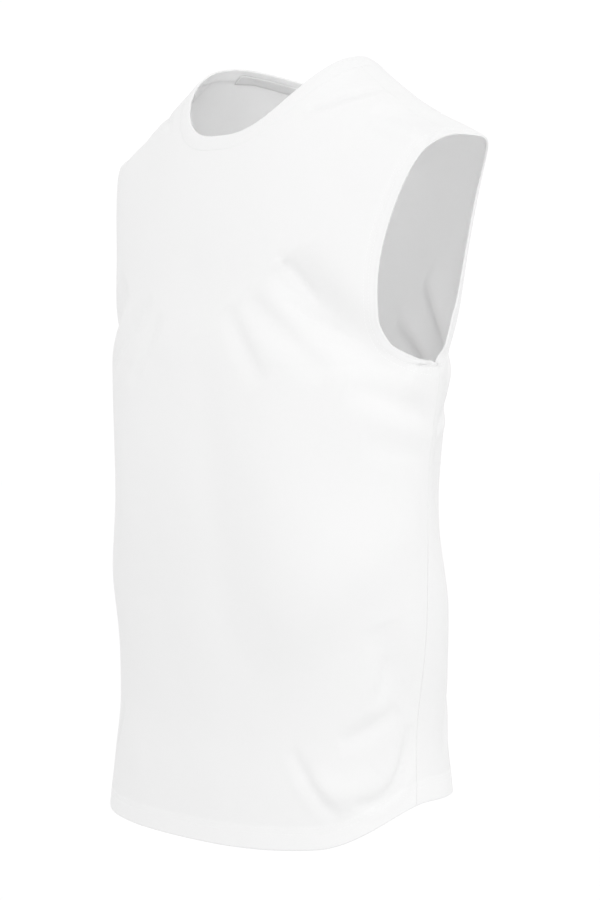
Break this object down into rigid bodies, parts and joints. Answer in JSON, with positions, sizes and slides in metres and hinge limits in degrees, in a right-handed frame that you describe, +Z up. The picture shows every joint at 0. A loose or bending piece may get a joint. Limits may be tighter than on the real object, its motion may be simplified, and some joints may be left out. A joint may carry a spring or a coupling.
{
  "type": "sleeveless t-shirt",
  "caption": "Sleeveless cotton t-shirt, filled out and hollow, with a round neckband, deep open armholes and a turned hem that rises at the side seams.",
  "frame": {"origin": "midway between the two neck points, on the line along which the wearer's shoulders carry the shirt", "axes": "+Z up, the front towards -Y, the wearer's left towards +X"},
  "size_m": [0.4724, 0.2391, 0.7215],
  "materials": {
    "jersey": "matt white cotton jersey",
    "neckband": "matt white doubled jersey band",
    "tape": "matt white cotton tape",
    "label": "plain white woven label, blank"
  },
  "bodies": {
    "root": {"front_panel": "jersey", "back_panel": "jersey", "neckband": "neckband", "neck_tape": "tape", "neck_label": "label"}
  },
  "joints": []
}
